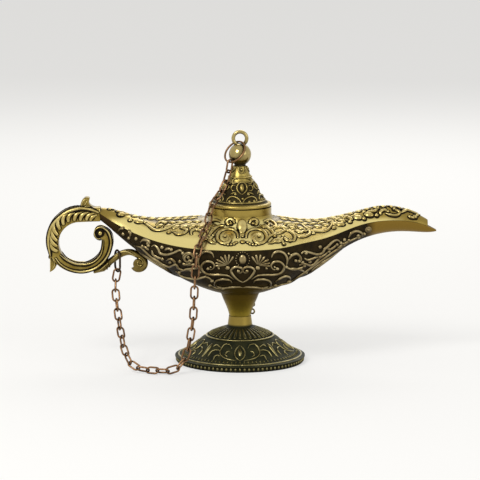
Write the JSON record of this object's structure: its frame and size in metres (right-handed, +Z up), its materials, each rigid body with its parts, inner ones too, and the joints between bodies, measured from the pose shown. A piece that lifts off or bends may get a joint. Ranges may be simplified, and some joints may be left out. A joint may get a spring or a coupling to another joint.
{
  "type": "oil lamp",
  "caption": "Genie-style oil lamp in antique metal: boat-shaped bowl on a round foot, long spout, ring handle, lift-off domed lid and a chain from its finial to the handle",
  "frame": {"origin": "centre of the foot's standing ring, on the table plane", "axes": "+X toward the spout, -X toward the handle, +Z up, the chain hangs on the -Y side"},
  "size_m": [0.1986, 0.0724, 0.1189],
  "materials": {
    "foot_bronze": "antique bronze, dark in the recesses, rubbed on the raised rims",
    "bowl_dark": "blackened ground with rubbed pewter-gold relief",
    "shoulder_gold": "antique gold plate, rubbed bright on the raised leaves",
    "handle_gold": "pale antique gold plate, dark in the grooves",
    "branch_bronze": "antique bronze, satin",
    "lid_olive": "olive antique brass with rubbed relief",
    "finial_polished": "polished brass",
    "ring_bronze": "copper bronze wire, satin",
    "chain_bronze": "copper bronze wire, satin",
    "ring_dark": "darkened bronze wire",
    "screw_steel": "plain zinc-plated steel"
  },
  "bodies": {
    "lamp": {"foot": "foot_bronze", "foot_screw": "screw_steel", "foot_washer": "screw_steel", "lower_shell": "bowl_dark", "upper_shell": "shoulder_gold", "handle": "handle_gold", "handle_branch": "branch_bronze"},
    "lid_body": {"lid": "lid_olive", "finial": "finial_polished"},
    "top_ring": {"top_ring": "ring_bronze"},
    "chain_run_01": {"link_01": "chain_bronze", "link_02": "chain_bronze", "link_03": "chain_bronze", "link_04": "chain_bronze"},
    "chain_run_02": {"link_05": "chain_bronze", "link_06": "chain_bronze", "link_07": "chain_bronze", "link_08": "chain_bronze", "link_09": "chain_bronze"},
    "chain_run_03": {"link_10": "chain_bronze", "link_11": "chain_bronze", "link_12": "chain_bronze", "link_13": "chain_bronze"},
    "chain_run_04": {"link_14": "chain_bronze", "link_15": "chain_bronze", "link_16": "chain_bronze", "link_17": "chain_bronze", "link_18": "chain_bronze"},
    "chain_run_05": {"link_19": "chain_bronze", "link_20": "chain_bronze", "link_21": "chain_bronze"},
    "chain_run_06": {"link_22": "chain_bronze", "link_23": "chain_bronze", "link_24": "chain_bronze"},
    "chain_run_07": {"link_25": "chain_bronze", "link_26": "chain_bronze", "link_27": "chain_bronze", "link_28": "chain_bronze"},
    "chain_run_08": {"link_29": "chain_bronze", "link_30": "chain_bronze", "link_31": "chain_bronze"},
    "chain_run_09": {"link_32": "chain_bronze", "link_33": "chain_bronze", "link_34": "chain_bronze"},
    "chain_run_10": {"link_35": "chain_bronze", "link_36": "chain_bronze", "link_37": "chain_bronze"},
    "end_ring": {"end_ring": "ring_dark"}
  },
  "joints": [
    {"name": "lid_lift", "type": "slide", "parent": "lamp", "child": "lid_body", "axis": [0, 0, 1], "range_m": [0, 0.03]},
    {"name": "top_ring_swing", "type": "hinge", "parent": "lid_body", "child": "top_ring", "pos_m": [0, 0, 0.11295], "axis": [-0.9214, -0.1525, 0.3574], "range_deg": [0, 2.77]},
    {"name": "chain_run_01_swing", "type": "hinge", "parent": "top_ring", "child": "chain_run_01", "pos_m": [-0.00493, -0.00493, 0.1037], "axis": [-0.0986, 0.1231, 0.9875], "range_deg": [0, 15.99]},
    {"name": "chain_run_02_swing", "type": "hinge", "parent": "chain_run_01", "child": "chain_run_02", "pos_m": [-0.01199, -0.01072, 0.08525], "axis": [0.8856, -0.1765, -0.4296], "range_deg": [0, 19.41]},
    {"name": "chain_run_03_swing", "type": "hinge", "parent": "chain_run_02", "child": "chain_run_03", "pos_m": [-0.01914, -0.02954, 0.06815], "axis": [-0.5753, -0.3103, -0.7568], "range_deg": [0, 28.31]},
    {"name": "chain_run_04_swing", "type": "hinge", "parent": "chain_run_03", "child": "chain_run_04", "pos_m": [-0.02238, -0.03595, 0.04951], "axis": [-0.6122, 0.1402, -0.7782], "range_deg": [0, 26.79]},
    {"name": "chain_run_05_swing", "type": "hinge", "parent": "chain_run_04", "child": "chain_run_05", "pos_m": [-0.02416, -0.035, 0.02295], "axis": [0.8907, 0.1683, 0.4223], "range_deg": [0, 17.81]},
    {"name": "chain_run_06_swing", "type": "hinge", "parent": "chain_run_05", "child": "chain_run_06", "pos_m": [-0.02787, -0.03551, 0.00746], "axis": [0.1392, -0.5222, 0.8414], "range_deg": [0, 30.17]},
    {"name": "chain_run_07_swing", "type": "hinge", "parent": "chain_run_06", "child": "chain_run_07", "pos_m": [-0.04142, -0.03647, 0.00193], "axis": [-0.9347, -0.2896, 0.2062], "range_deg": [0, 30.81]},
    {"name": "chain_run_08_swing", "type": "hinge", "parent": "chain_run_07", "child": "chain_run_08", "pos_m": [-0.05746, -0.02639, 0.00812], "axis": [0.3941, -0.5837, -0.7099], "range_deg": [0, 21.21]},
    {"name": "chain_run_09_swing", "type": "hinge", "parent": "chain_run_08", "child": "chain_run_09", "pos_m": [-0.06081, -0.01592, 0.0197], "axis": [0.6078, 0.7936, 0.0277], "range_deg": [0, 23.51]},
    {"name": "chain_run_10_swing", "type": "hinge", "parent": "chain_run_09", "child": "chain_run_10", "pos_m": [-0.06301, -0.00654, 0.03243], "axis": [0.0956, 0.9621, 0.2553], "range_deg": [0, 25.61]},
    {"name": "end_ring_swing", "type": "hinge", "parent": "chain_run_10", "child": "end_ring", "pos_m": [-0.06255, 0, 0.04681], "axis": [0.7121, -0.4226, 0.5607], "range_deg": [0, 2.28]}
  ],
  "couplings": [
    {"joint": "top_ring_swing", "follows": "lid_lift", "rad_per_m": 1.5673},
    {"joint": "chain_run_01_swing", "follows": "lid_lift", "rad_per_m": 9.1083},
    {"joint": "chain_run_02_swing", "follows": "lid_lift", "rad_per_m": 11.062},
    {"joint": "chain_run_03_swing", "follows": "lid_lift", "rad_per_m": 16.136},
    {"joint": "chain_run_04_swing", "follows": "lid_lift", "rad_per_m": 15.269},
    {"joint": "chain_run_05_swing", "follows": "lid_lift", "rad_per_m": 10.148},
    {"joint": "chain_run_06_swing", "follows": "lid_lift", "rad_per_m": 17.198},
    {"joint": "chain_run_07_swing", "follows": "lid_lift", "rad_per_m": 17.562},
    {"joint": "chain_run_08_swing", "follows": "lid_lift", "rad_per_m": 12.087},
    {"joint": "chain_run_09_swing", "follows": "lid_lift", "rad_per_m": 13.399},
    {"joint": "chain_run_10_swing", "follows": "lid_lift", "rad_per_m": 14.598},
    {"joint": "end_ring_swing", "follows": "lid_lift", "rad_per_m": 1.2885}
  ]
}
